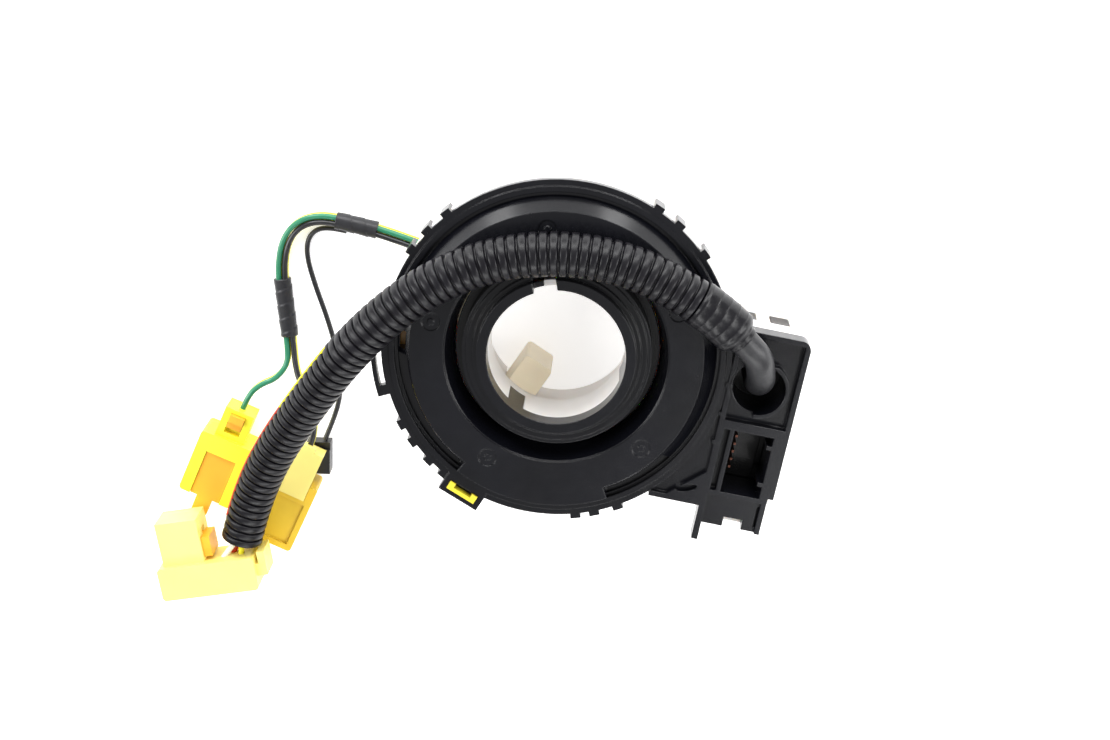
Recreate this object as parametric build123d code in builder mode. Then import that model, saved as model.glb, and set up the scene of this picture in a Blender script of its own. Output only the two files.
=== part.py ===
"""Steering clock spring: a two-part case that stays on the steering column, and a hub that turns
with the wheel, joined inside by a wound flat ribbon. It lies with its column side up, on the
wheel-side collar of the hub. Lengths are millimetres, angles are degrees, and heights are measured
from the surface that it lies on. The origin is on the bore axis."""

from build123d import *
from math import cos, degrees, pi, radians, sin, sqrt, tan
import os

os.makedirs("parts", exist_ok=True)

# Radii, from the bore outwards
bore_radius = 20.5
hub_wall = 1.8
ring_width = 7.7
ring_groove = 2.7
funnel_taper = 2.1
plateau_width = 10.5
cone_width = 3.9
rim_groove = 1.0
rim_width = 3.6
hub_radius = bore_radius + hub_wall
ring_radius = bore_radius + ring_width
funnel_radius = ring_radius + ring_groove
plateau_inner = funnel_radius + funnel_taper
plateau_outer = plateau_inner + plateau_width
cone_outer = plateau_outer + cone_width
rim_inner = cone_outer + rim_groove
rim_radius = rim_inner + rim_width

# Walls and clearances
wall = 1.6
thin_wall = 1.2
case_wall = 2.6
case_inset = 0.4
running_gap = 0.3
fit_gap = 0.1
film_thickness = 0.3
overrun = 1.0

# Heights, from the surface upwards
standoff = 17.6
flange_thickness = 2.0
ribbon_width = 9.8
rim_rise = 3.5
plateau_rise = 3.6
plateau_thickness = 2.0
groove_rise = 2.1
flange_bottom = standoff + wall + running_gap
flange_top = flange_bottom + flange_thickness
ribbon_bottom = flange_top + film_thickness + running_gap
joint_height = ribbon_bottom + ribbon_width + running_gap + film_thickness
rim_height = joint_height + rim_rise
plateau_height = rim_height + plateau_rise
ceiling_height = plateau_height - plateau_thickness
groove_height = joint_height + groove_rise

# Rear case: the turned part of the moulding
funnel_depth = 11.0
funnel_wall = 2.0
edge_step = 0.4
rim_step = 0.7
rim_step_width = 1.8
spigot_depth = 2.1
spigot_wall = 1.3
film_rib = 1.6
film_rib_width = 4.2
case_outer = rim_radius - case_inset
case_inner = case_outer - case_wall
spigot_outer = case_inner - fit_gap
spigot_inner = spigot_outer - spigot_wall
funnel_bottom = plateau_height - funnel_depth
rim_step_radius = rim_inner + rim_step_width

# Rear case: pockets, windows, marks and tabs, as azimuths and their spans
deep_slots = ((180, 50), (288, 27))
slot_margin = 0.6
slot_floor = 1.0
raised_sector = (230, 58)
film_window = (171, 7)
film_window_margin = 1.3
mark_radius_share = 0.5
mark_azimuths = (164, 93, 20, 236.5, 310.7)
mark_diameter = 5.4
mark_depth = 0.3
mark_pip_diameter = 2.0
rim_tab = (172.6, 22.1)
rim_tab_reach = 3.6
rim_tab_wall = 1.4
snap_azimuths = (34, 46.5, 55, 127, 135.5, 143.5, 206, 213, 221.3, 228, 275.4, 281.7, 289.8)
snap_span = 3.4
snap_reach = 1.5
snap_drop = 5.0

# Yellow rim clip and the pocket that holds it
clip_azimuth = 236.5
clip_pocket_width = 13.4
clip_pocket_reach = 4.2
clip_width = 9.6
clip_depth = 2.6
clip_arm = 1.9
clip_proud = 0.6

# Connector block: v points away from the bore axis and w runs along the block
block_angle = -12.0
block_start = rim_radius - running_gap
block_width = 21.6
block_head = 18.3
block_foot = 44.4
block_drop = 2.5
block_corner = 3.0
foot_recess = 1.7
foot_step_share = 0.73
notch_share = (0.39, 0.66)
notch_depth = 3.1
rail_reach = 5.3
rail_width = 1.9
block_end = block_start + block_width
block_floor = joint_height - block_drop

# White cover of the block
cover_depth = 20.0
cover_inset = 0.5
cover_lip = 2.4
cover_bottom = block_floor - cover_depth
cover_start = block_start + cover_inset
cover_end = block_end - cover_inset
cover_head = block_head - cover_inset
cover_foot = block_foot - cover_inset
window_shares = ((0.1, 0.26), (0.46, 0.76))
window_bottom = 1.2
window_height = 8.0
latch_gap = 0.3

# Harness well and header socket in the block
well_offset = 9.5
well_w = 0.9
well_radius = 7.8
well_wall = 1.2
well_clear = 4.4
well_step = 3.0
socket_start = 5.3
socket_width = 12.0
socket_head = 13.0
socket_length = 20.0
socket_wall = 1.4
header_clear = 1.9
header_height = 3.0
header_inset = 0.1
pin_count = 6
pin_pitch = 2.5
pin_side = 0.7
pin_height = 11.0
pin_offset = 2.0
key_rib_width = 1.2
key_rib_reach = 1.6
key_rib_shares = (0.2, 0.8)
pocket_depth = 3.0
plate_drop = 1.5
rail_slot = 0.6

# Web between the disc and the block
web_start = 36.0
web_foot = 38.7
web_thickness = 1.6
web_rib_count = 3
web_rib_width = 1.0
web_rib_rise = 2.0
gusset_length = 14.0
gusset_height = 12.4
lens_length = 6.5
lens_width = 2.2
lens_angle = 20.0

# Ribbon, films and the blocks that the ribbon is welded to
ribbon_thickness = 0.5
ribbon_turns = 4.5
ribbon_clearance = 1.2
ribbon_start = 154.0
lead_gap = 0.1
rotor_lead_span = 24.0
stator_lead_span = 12.0
stator_lead_reach = 5.2
stator_lead_height = 7.6
gate_margin = 1.0
half_circle = 180.0
ribbon_inner = plateau_inner + 2 * ribbon_clearance + ribbon_thickness
ribbon_outer = spigot_inner - ribbon_clearance
ribbon_pitch = (ribbon_outer - ribbon_inner) / (ribbon_turns - 0.5)
ribbon_end = ribbon_start + half_circle

# Hub
lip_overlap = 3.9
drum_wall = 1.6
drum_drop = 0.7
collar_radius = 25.4
collar_wall = 1.8
boss_radius = 3.6
boss_hole_radius = 1.4
boss_hole_depth = 9.0
boss_azimuths = (55, -25)
boss_circle = 37.0
ring_seat_drop = 0.5
ring_seat = rim_height - ring_seat_drop
flange_radius = case_inner - 2 * running_gap
lip_radius = flange_radius - lip_overlap
film_inner = ribbon_inner - ribbon_thickness
drum_top = funnel_bottom - drum_drop

# Cancelling cam ring
ring_thickness = 1.6
ring_steps = ((1.2, 0.5), (1.9, 1.0))
ring_collar_height = 6.0
ring_collar_width = 3.05
ring_bore_gap = 0.05
notch_width = 7.0
notch_reach = 3.6
notch_azimuth = 97.8
hook_azimuths = (-128, -18, 107)
hook_width = 5.4
hook_length = 11.5
hook_gap = 0.15

# Wheel-side socket and its pins
wheel_socket_azimuth = -125.0
wheel_socket_inner = 10.5
wheel_socket_outer = 33.0
wheel_socket_width = 9.6
wheel_socket_floor = 3.2
wheel_socket_clear = 4.0
wheel_pin_count = 4
wheel_pin_side = 1.0
wheel_pin_height = 5.0

# Wire exit tower on the hub
exit_azimuth = 150.5
exit_inner = 33.0
exit_width = 14.0
exit_reach = 50.0
exit_nozzle_height = 7.0
exit_nozzle_width = 9.0
exit_corner = 1.2
exit_outer = sqrt((lip_radius - running_gap) ** 2 - (exit_width / 2) ** 2)


def block_plane(height):
    """A level plane at a height, with its X axis towards the connector block."""
    return Plane(origin=(0, 0, height), x_dir=(cos(radians(block_angle)), sin(radians(block_angle)), 0))


def polar_plane(azimuth, height):
    """A level plane at a height, with its X axis along an azimuth."""
    return Plane(origin=(0, 0, height), x_dir=(cos(radians(azimuth)), sin(radians(azimuth)), 0))


def piece_plane(place, azimuth, height):
    """A level plane with its origin at a place in plan and its X axis along an azimuth."""
    direction = (cos(radians(azimuth)), sin(radians(azimuth)), 0)
    return Plane(origin=(place[0], place[1], height), x_dir=direction)


def span_rectangle(x_from, x_to, y_from, y_to, mode=Mode.ADD):
    """Adds a rectangle between two x and two y values to the open sketch."""
    with Locations(((x_from + x_to) / 2, (y_from + y_to) / 2)):
        Rectangle(x_to - x_from, y_to - y_from, mode=mode)


def ring_sector(inner, outer, start, span):
    """A piece of flat ring that starts at an azimuth."""
    with BuildSketch() as sector:
        with BuildLine():
            outside = CenterArc((0, 0), outer, start, span)
            inside = CenterArc((0, 0), inner, start, span)
            Line(outside @ 0, inside @ 0)
            Line(outside @ 1, inside @ 1)
        make_face()
    return sector.sketch


def polar(radius, azimuth):
    """A point in plan from its radius and azimuth."""
    return radius * cos(radians(azimuth)), radius * sin(radians(azimuth))


def block_point(v, w, height):
    """A point given in the block's own directions."""
    point = block_plane(height).from_local_coords((v, w, 0))
    return point.X, point.Y, point.Z


def corner_radii(points):
    """The largest radii that the runs of a cord's route allow at its corners."""
    vectors = [Vector(*point) for point in points]
    radii = []
    for before, corner, after in zip(vectors, vectors[1:], vectors[2:]):
        run_in = corner - before
        run_out = after - corner
        turn = radians(run_in.get_angle(run_out))
        shorter = min(run_in.length, run_out.length)
        radii.append(0.45 * shorter / tan(turn / 2))
    return radii


def report_cord(name, path, part, diameter, radii):
    """Prints a cord's smallest radius and compares its volume with its section times its length."""
    section = pi * (diameter / 2) ** 2
    length = sum(edge.length for edge in path.edges())
    print(name, "radii", [round(radius, 1) for radius in radii], "diameter", diameter)
    print("   length", round(length, 1), "volume ratio", round(part.volume / (section * length), 4))


# Rear case: the black column-side moulding
well_v = block_start + well_offset
well_bottom = cover_bottom + wall + well_clear
well_depth = rim_height - well_bottom
socket_v = block_start + socket_start
socket_end = socket_v + socket_width
socket_bottom = cover_bottom + wall + header_clear + header_height
socket_depth = rim_height - socket_bottom
socket_w = -socket_head - socket_length
foot_end = block_end - foot_recess
foot_step = -block_foot * foot_step_share
plate_head = socket_w - socket_wall
plate_top = rim_height - plate_drop
web_bottom = joint_height
mark_circle = plateau_inner + plateau_width * mark_radius_share

rear_profile = (
    (plateau_inner, plateau_height - edge_step),
    (plateau_inner + edge_step, plateau_height - edge_step),
    (plateau_inner + edge_step, plateau_height),
    (plateau_outer, plateau_height),
    (cone_outer, groove_height),
    (rim_inner, groove_height),
    (rim_inner, rim_height),
    (rim_step_radius, rim_height),
    (rim_step_radius, rim_height - rim_step),
    (rim_radius, rim_height - rim_step),
    (rim_radius, joint_height),
    (spigot_outer, joint_height),
    (spigot_outer, joint_height - spigot_depth),
    (spigot_inner, joint_height - spigot_depth),
    (spigot_inner, joint_height),
    (spigot_inner - film_rib_width, joint_height),
    (spigot_inner - film_rib_width, ceiling_height),
    (plateau_inner + funnel_wall + film_rib, ceiling_height),
    (plateau_inner + funnel_wall + film_rib, joint_height),
    (funnel_radius + funnel_wall * 2, joint_height),
    (funnel_radius + funnel_wall, funnel_bottom),
    (funnel_radius, funnel_bottom),
)

with BuildPart() as rear_case:
    with BuildSketch(Plane.XZ):
        with BuildLine():
            Polyline(*rear_profile, close=True)
        make_face()
    revolve(axis=Axis.Z)
    # Raised sector of the plateau, opposite the harness
    with BuildSketch(Plane.XY.offset(groove_height)):
        add(ring_sector(plateau_outer - edge_step, cone_outer, *raised_sector))
    extrude(amount=plateau_height - groove_height)
    # Deep arc slots outside the plateau, and the window onto the slide film
    with BuildSketch(Plane.XY.offset(joint_height + slot_floor)):
        for start, span in deep_slots:
            add(ring_sector(plateau_outer + slot_margin, cone_outer, start, span))
    extrude(amount=plateau_height - joint_height, mode=Mode.SUBTRACT)
    with BuildSketch(Plane.XY.offset(joint_height - overrun)):
        add(ring_sector(plateau_outer + film_window_margin, cone_outer - slot_margin, *film_window))
    extrude(amount=plateau_height - joint_height + 2 * overrun, mode=Mode.SUBTRACT)
    # Round mould marks on the plateau, each with a pip in it
    with BuildSketch(Plane.XY.offset(plateau_height - mark_depth)):
        for azimuth in mark_azimuths:
            with Locations(polar(mark_circle, azimuth)):
                Circle(mark_diameter / 2)
                Circle(mark_pip_diameter / 2, mode=Mode.SUBTRACT)
    extrude(amount=mark_depth, mode=Mode.SUBTRACT)
    # Loop tab on the rim
    with BuildSketch(Plane.XY.offset(joint_height)):
        tab_start, tab_span = rim_tab
        tab_end = rim_radius + rim_tab_reach
        add(ring_sector(rim_radius - rim_tab_wall, tab_end, tab_start, tab_span))
        slot_inner = rim_radius + edge_step
        slot = ring_sector(slot_inner, tab_end - rim_tab_wall, tab_start + snap_span, tab_span - 2 * snap_span)
        add(slot, mode=Mode.SUBTRACT)
    extrude(amount=rim_rise - rim_step)
    # Snap tabs that reach down over the white case
    with BuildSketch(Plane.XY.offset(joint_height - snap_drop)):
        for azimuth in snap_azimuths:
            add(ring_sector(rim_radius + edge_step, rim_radius + snap_reach, azimuth - snap_span / 2, snap_span))
    extrude(amount=snap_drop + rim_rise - rim_step)
    with BuildSketch(Plane.XY.offset(joint_height)):
        for azimuth in snap_azimuths:
            add(ring_sector(rim_radius - overrun, rim_radius + snap_reach, azimuth - snap_span / 2, snap_span))
    extrude(amount=rim_rise - rim_step)
    # Pocket of the yellow clip
    with BuildSketch(polar_plane(clip_azimuth, joint_height)):
        reach = rim_radius + clip_pocket_reach
        span_rectangle(rim_step_radius - edge_step, reach, -clip_pocket_width / 2, clip_pocket_width / 2)
    extrude(amount=rim_rise)
    with BuildSketch(polar_plane(clip_azimuth, joint_height + thin_wall)):
        pocket_half = clip_width / 2 + fit_gap
        pocket_end = rim_radius + clip_depth + fit_gap
        span_rectangle(rim_radius, pocket_end, -pocket_half, pocket_half)
    extrude(amount=rim_rise, mode=Mode.SUBTRACT)
    # Web between the disc and the block
    with BuildSketch(block_plane(web_bottom)):
        with BuildLine():
            Polyline(
                (web_start, -web_foot),
                (block_start + wall, -web_foot),
                (block_start + wall, block_head),
                (web_start, block_head),
                close=True,
            )
        make_face()
        Circle(rim_step_radius, mode=Mode.SUBTRACT)
        span_rectangle(0, web_start + overrun, block_head - wall, block_head, mode=Mode.SUBTRACT)
    extrude(amount=web_thickness)
    # Flange along the foot of the web, its gusset and low ribs
    with BuildSketch(block_plane(web_bottom)):
        span_rectangle(web_start, block_start + wall, -web_foot, -web_foot + wall)
        Circle(rim_step_radius, mode=Mode.SUBTRACT)
    extrude(amount=rim_rise)
    with BuildSketch(block_plane(web_bottom + web_thickness)):
        for index in range(web_rib_count):
            start = rim_radius - overrun
            w = -block_head + index * block_head / 2
            span_rectangle(start, block_start + wall, w, w + web_rib_width)
    extrude(amount=web_rib_rise)
    with BuildSketch(block_plane(rim_height - web_thickness)):
        with BuildLine():
            Polyline(
                (block_start + wall, -web_foot),
                (block_start + wall - gusset_length, -web_foot),
                (block_start + wall, -web_foot + gusset_height),
                close=True,
            )
        make_face()
        with Locations((block_start - lens_length / 2 - wall, -web_foot + gusset_height / 4 + wall)):
            Ellipse(lens_length / 2, lens_width / 2, rotation=lens_angle, mode=Mode.SUBTRACT)
        Circle(rim_step_radius, mode=Mode.SUBTRACT)
    extrude(amount=web_thickness)
    # Connector block: its outline, with the rail foot and the notch at the foot end
    with BuildSketch(block_plane(block_floor)):
        with BuildLine():
            notch_from = block_start + block_width * notch_share[0]
            notch_to = block_start + block_width * notch_share[1]
            Polyline(
                (block_start, block_head),
                (block_end, block_head),
                (block_end, foot_step),
                (foot_end, foot_step),
                (foot_end, -block_foot),
                (notch_to, -block_foot),
                (notch_to, -block_foot + notch_depth),
                (notch_from, -block_foot + notch_depth),
                (notch_from, -block_foot),
                (block_start + rail_width, -block_foot),
                (block_start + rail_width, -block_foot - rail_reach),
                (block_start, -block_foot - rail_reach),
                close=True,
            )
        make_face()
        fillet(vertices().group_by(Axis.Y)[-1].sort_by(Axis.X)[-1], radius=block_corner)
    extrude(amount=rim_height - block_floor)
    # Sunken floor round the well and the lowered plate at the foot
    with BuildSketch(block_plane(rim_height - pocket_depth)):
        span_rectangle(block_start + wall, block_end - wall, -socket_head + socket_wall * 2, block_head - wall)
        span_rectangle(socket_v - wall * 2, socket_v - thin_wall, socket_w, -socket_head)
    extrude(amount=pocket_depth, mode=Mode.SUBTRACT)
    with BuildSketch(block_plane(plate_top)):
        span_rectangle(block_start + rail_width, foot_end - wall, -block_foot - overrun, plate_head)
    extrude(amount=plate_drop, mode=Mode.SUBTRACT)
    with BuildSketch(block_plane(plate_top - plate_drop)):
        span_rectangle(foot_end - wall - rail_slot, foot_end - wall, -block_foot + wall, plate_head - wall)
    extrude(amount=plate_drop, mode=Mode.SUBTRACT)
    # Harness well: a deep tube, its rim lowered where the harness leans out
    with BuildSketch(block_plane(well_bottom)):
        with Locations((well_v, well_w)):
            Circle(well_radius + well_wall)
    extrude(amount=well_depth)
    with BuildSketch(block_plane(well_bottom + thin_wall)):
        with Locations((well_v, well_w)):
            Circle(well_radius)
    extrude(amount=well_depth, mode=Mode.SUBTRACT)
    with BuildSketch(block_plane(rim_height - well_step)):
        with Locations((well_v, well_w)):
            Circle(well_radius + well_wall)
        span_rectangle(well_v, block_end, well_w - well_radius * 2, well_w + well_radius, mode=Mode.SUBTRACT)
    extrude(amount=well_step, mode=Mode.SUBTRACT)
    # Header socket: a deep tube, with key ribs on its outer wall
    with BuildSketch(block_plane(socket_bottom)):
        tube_head = -socket_head + socket_wall
        span_rectangle(socket_v - socket_wall, socket_end + socket_wall, socket_w - socket_wall, tube_head)
    extrude(amount=socket_depth)
    with BuildSketch(block_plane(socket_bottom - overrun)):
        span_rectangle(socket_v, socket_end, socket_w, -socket_head)
        for share in key_rib_shares:
            rib_w = socket_w + socket_length * share
            span_rectangle(socket_end - key_rib_reach, socket_end, rib_w, rib_w + key_rib_width, mode=Mode.SUBTRACT)
    extrude(amount=socket_depth + 2 * overrun, mode=Mode.SUBTRACT)
    # Latch fingers that hook into the windows of the white cover
    finger_front = cover_head - wall - latch_gap
    with BuildSketch(block_plane(cover_bottom + wall + window_bottom + latch_gap)):
        for start_share, end_share in window_shares:
            finger_start = cover_start + (cover_end - cover_start) * start_share + latch_gap
            finger_end = cover_start + (cover_end - cover_start) * end_share - latch_gap
            span_rectangle(finger_start, finger_end, finger_front - thin_wall, finger_front)
    extrude(amount=cover_depth - wall - window_bottom - latch_gap)
    with BuildSketch(block_plane(cover_bottom + wall + window_bottom + latch_gap)):
        for start_share, end_share in window_shares:
            finger_start = cover_start + (cover_end - cover_start) * start_share + latch_gap
            finger_end = cover_start + (cover_end - cover_start) * end_share - latch_gap
            span_rectangle(finger_start, finger_end, finger_front, cover_head)
    extrude(amount=window_height - 2 * latch_gap)

# Front case: the white wheel-side moulding
front_profile = (
    (lip_radius, standoff),
    (case_outer, standoff),
    (case_outer, joint_height),
    (case_inner, joint_height),
    (case_inner, standoff + wall),
    (lip_radius, standoff + wall),
)
cover_step = plate_head - fit_gap - wall
with BuildPart() as front_case:
    with BuildSketch(Plane.XZ):
        with BuildLine():
            Polyline(*front_profile, close=True)
        make_face()
    revolve(axis=Axis.Z)
    # Cover of the block, open at the top
    with BuildSketch(block_plane(cover_bottom)):
        span_rectangle(cover_start, cover_end, cover_step, cover_head)
        fillet(vertices().group_by(Axis.Y)[-1].sort_by(Axis.X)[-1], radius=block_corner - cover_inset)
        span_rectangle(cover_start, foot_end - cover_inset, -cover_foot, cover_step + wall)
        fillet(vertices().group_by(Axis.Y)[0].sort_by(Axis.X)[-1], radius=block_corner)
    extrude(amount=cover_depth)
    with BuildSketch(block_plane(cover_bottom)):
        span_rectangle(cover_start, cover_end - block_corner, cover_head - wall, cover_head + cover_lip)
    extrude(amount=wall)
    with BuildSketch(block_plane(cover_bottom + wall)):
        span_rectangle(cover_start + wall, cover_end - wall, cover_step + wall, cover_head - wall)
        span_rectangle(cover_start + wall, foot_end - cover_inset - wall, -cover_foot + wall, cover_step + 2 * wall)
    extrude(amount=cover_depth, mode=Mode.SUBTRACT)
    # Windows for the latch fingers
    with BuildSketch(block_plane(cover_bottom + wall + window_bottom)):
        for start_share, end_share in window_shares:
            window_start = cover_start + (cover_end - cover_start) * start_share
            window_end = cover_start + (cover_end - cover_start) * end_share
            span_rectangle(window_start, window_end, cover_head - wall - overrun, cover_head + overrun)
    extrude(amount=window_height, mode=Mode.SUBTRACT)
    # Floor and side walls between the ring and the cover
    with BuildSketch(block_plane(standoff)):
        with BuildLine():
            Polyline(
                (web_start, -web_foot + fit_gap),
                (cover_start + wall / 2, -web_foot + fit_gap),
                (cover_start + wall / 2, cover_head),
                (web_start, cover_head),
                close=True,
            )
        make_face()
        Circle(case_outer - overrun, mode=Mode.SUBTRACT)
        span_rectangle(0, web_start + overrun, cover_head - wall, cover_head, mode=Mode.SUBTRACT)
    extrude(amount=wall)
    with BuildSketch(block_plane(standoff)):
        span_rectangle(web_start, block_start - fit_gap, -web_foot + fit_gap, -web_foot + fit_gap + wall)
        span_rectangle(web_start, block_start - fit_gap, cover_head - wall, cover_head)
        Circle(case_outer - overrun, mode=Mode.SUBTRACT)
    extrude(amount=joint_height - standoff)
    with BuildSketch(block_plane(standoff)):
        joint_start = block_start - fit_gap - wall
        span_rectangle(joint_start, cover_start + wall / 2, -web_foot + fit_gap, -web_foot + fit_gap + wall)
        span_rectangle(joint_start, cover_start + wall / 2, cover_head - wall, cover_head)
    extrude(amount=block_floor - standoff)
    # Clearance round the tube of the harness well
    with BuildSketch(block_plane(well_bottom - latch_gap)):
        with Locations((well_v, well_w)):
            Circle(well_radius + well_wall + latch_gap)
    extrude(amount=well_depth, mode=Mode.SUBTRACT)
    # Gate in the ring wall for the lead block of the ribbon
    with BuildSketch(Plane.XY.offset(ribbon_bottom - running_gap)):
        gate_span = stator_lead_span + 2 * gate_margin
        add(ring_sector(case_inner - overrun, case_outer + overrun, ribbon_end - gate_span / 2, gate_span))
    extrude(amount=stator_lead_height + 2 * running_gap, mode=Mode.SUBTRACT)

# Terminal header: the insert that closes the bottom of the socket
pin_v = socket_v + pin_offset
pin_first = -socket_head - pin_offset
with BuildPart() as terminal_header:
    with BuildSketch(block_plane(socket_bottom - header_height)):
        header_end = socket_end - key_rib_reach - header_inset
        span_rectangle(socket_v + header_inset, header_end, socket_w + header_inset, -socket_head - header_inset)
    extrude(amount=header_height * 2)
    with BuildSketch(block_plane(socket_bottom - header_height - overrun)):
        for index in range(pin_count):
            with Locations((pin_v, pin_first - index * pin_pitch)):
                Rectangle(pin_side, pin_side)
    extrude(amount=header_height * 2 + 2 * overrun, mode=Mode.SUBTRACT)

with BuildPart() as header_pins:
    with BuildSketch(block_plane(socket_bottom - header_height)):
        for index in range(pin_count):
            with Locations((pin_v, pin_first - index * pin_pitch)):
                Rectangle(pin_side, pin_side)
    extrude(amount=header_height + pin_height)

# Lead block of the case, where the ribbon's outer end is welded
with BuildPart() as stator_lead_block:
    with BuildSketch(Plane.XY.offset(ribbon_bottom)):
        lead_inner = ribbon_outer + ribbon_thickness / 2 + lead_gap
        start = ribbon_end - stator_lead_span / 2
        add(ring_sector(lead_inner, lead_inner + stator_lead_reach, start, stator_lead_span))
    extrude(amount=stator_lead_height)

# Yellow clip in the rim pocket, a U that opens towards the bore
with BuildPart() as rim_clip:
    with BuildSketch(polar_plane(clip_azimuth, joint_height + thin_wall)):
        span_rectangle(rim_radius, rim_radius + clip_depth, -clip_width / 2, clip_width / 2)
        inner_half = clip_width / 2 - clip_arm
        inner_end = rim_radius + clip_depth - thin_wall
        span_rectangle(rim_radius - overrun, inner_end, -inner_half, inner_half, mode=Mode.SUBTRACT)
    extrude(amount=rim_rise - thin_wall + clip_proud)

# Flat ribbon: half turns of growing radius, joined end to end
with BuildPart() as ribbon_cable:
    with BuildSketch(polar_plane(ribbon_start, ribbon_bottom)):
        with BuildLine() as ribbon_line:
            for half_turn in range(round(2 * ribbon_turns)):
                radius = ribbon_inner + half_turn * ribbon_pitch / 2
                centre = (half_turn % 2) * ribbon_pitch / 2
                CenterArc((centre, 0), radius, half_circle * (half_turn % 2), half_circle)
        trace(line_width=ribbon_thickness)
    extrude(amount=ribbon_width)

with BuildPart() as slide_film_rear:
    with BuildSketch(Plane.XY.offset(joint_height - film_thickness)):
        Circle(spigot_inner - running_gap)
        Circle(film_inner, mode=Mode.SUBTRACT)
    extrude(amount=film_thickness)

with BuildPart() as slide_film_front:
    with BuildSketch(Plane.XY.offset(flange_top)):
        Circle(flange_radius - running_gap)
        Circle(film_inner, mode=Mode.SUBTRACT)
    extrude(amount=film_thickness)

# Hub: bore tube, drum and flange in one white moulding, with its wheel-side collar and bosses
hub_profile = (
    (bore_radius, flange_bottom),
    (flange_radius, flange_bottom),
    (flange_radius, flange_top),
    (ring_radius, flange_top),
    (ring_radius, drum_top),
    (ring_radius - drum_wall, drum_top),
    (ring_radius - drum_wall, flange_top),
    (hub_radius, flange_top),
    (hub_radius, ring_seat),
    (bore_radius, ring_seat),
)
socket_half = wheel_socket_width / 2
with BuildPart() as rotor_hub:
    with BuildSketch(Plane.XZ):
        with BuildLine():
            Polyline(*hub_profile, close=True)
        make_face()
    revolve(axis=Axis.Z)
    with BuildSketch():
        Circle(collar_radius)
        Circle(collar_radius - collar_wall, mode=Mode.SUBTRACT)
    extrude(amount=flange_bottom)
    with BuildSketch(polar_plane(wheel_socket_azimuth, 0)):
        span_rectangle(0, wheel_socket_outer, -socket_half - fit_gap, socket_half + fit_gap)
    extrude(amount=flange_bottom, mode=Mode.SUBTRACT)
    # Drive bosses with screw holes
    with BuildSketch():
        for azimuth in boss_azimuths:
            with Locations(polar(boss_circle, azimuth)):
                Circle(boss_radius)
    extrude(amount=flange_bottom)
    with BuildSketch():
        for azimuth in boss_azimuths:
            with Locations(polar(boss_circle, azimuth)):
                Circle(boss_hole_radius)
    extrude(amount=boss_hole_depth, mode=Mode.SUBTRACT)
    # Slots for the hooks of the cam ring
    with BuildSketch(Plane.XY.offset(ring_seat - hook_length - hook_gap)):
        for azimuth in hook_azimuths:
            slot_span = degrees((hook_width + 2 * hook_gap) / bore_radius)
            add(ring_sector(bore_radius - overrun, hub_radius + overrun, azimuth - slot_span / 2, slot_span))
    extrude(amount=hook_length + hook_gap + overrun, mode=Mode.SUBTRACT)

# Cancelling cam ring, hooked into the slots of the hub
ring_top = ring_seat + ring_thickness
ring_edge = ring_radius
ring_profile = [(bore_radius + ring_bore_gap, ring_seat), (ring_edge, ring_seat), (ring_edge, ring_top)]
for width, rise in ring_steps:
    ring_edge = ring_edge - width
    ring_profile.append((ring_edge, ring_top))
    ring_top = ring_top + rise
    ring_profile.append((ring_edge, ring_top))
collar_edge = bore_radius + ring_bore_gap + ring_collar_width
ring_profile.append((collar_edge, ring_top))
ring_profile.append((collar_edge, ring_seat + ring_collar_height))
ring_profile.append((bore_radius + ring_bore_gap, ring_seat + ring_collar_height))

with BuildPart() as cancel_cam_ring:
    with BuildSketch(Plane.XZ):
        with BuildLine():
            Polyline(*ring_profile, close=True)
        make_face()
    revolve(axis=Axis.Z)
    with BuildSketch(polar_plane(notch_azimuth, ring_seat - overrun)):
        span_rectangle(0, bore_radius + notch_reach, -notch_width / 2, notch_width / 2)
    extrude(amount=ring_collar_height + 2 * overrun, mode=Mode.SUBTRACT)
    with BuildSketch(Plane.XY.offset(ring_seat - hook_length)):
        for azimuth in hook_azimuths:
            hook_span = degrees(hook_width / bore_radius)
            add(ring_sector(bore_radius + ring_bore_gap, hub_radius - hook_gap, azimuth - hook_span / 2, hook_span))
    extrude(amount=hook_length)

# Lead block of the hub, where the ribbon's inner end is welded
with BuildPart() as rotor_lead_block:
    with BuildSketch(Plane.XY.offset(flange_top)):
        outer = film_inner - fit_gap
        add(ring_sector(ring_radius + fit_gap, outer, ribbon_start - rotor_lead_span / 2, rotor_lead_span))
    extrude(amount=funnel_bottom - running_gap - flange_top)

# Wheel-side socket: a deep tray under the hub, open towards the wheel
socket_mid = (wheel_socket_inner + wheel_socket_outer) / 2
socket_run = wheel_socket_outer - wheel_socket_inner
with BuildPart() as wheel_socket:
    with BuildSketch(polar_plane(wheel_socket_azimuth, wheel_socket_clear)):
        with Locations((socket_mid, 0)):
            RectangleRounded(socket_run, wheel_socket_width, thin_wall)
    extrude(amount=flange_bottom - wheel_socket_clear)
    with BuildSketch(polar_plane(wheel_socket_azimuth, wheel_socket_clear)):
        with Locations((socket_mid, 0)):
            Rectangle(socket_run - 2 * thin_wall, wheel_socket_width - 2 * thin_wall)
    extrude(amount=flange_bottom - wheel_socket_clear - wheel_socket_floor, mode=Mode.SUBTRACT)
    with BuildSketch(polar_plane(wheel_socket_azimuth, flange_bottom - wheel_socket_floor - overrun)):
        with Locations((socket_mid, 0)):
            with GridLocations(socket_run / (wheel_pin_count + 1), 0, wheel_pin_count, 1):
                Rectangle(wheel_pin_side, wheel_pin_side)
    extrude(amount=wheel_socket_floor, mode=Mode.SUBTRACT)

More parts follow.
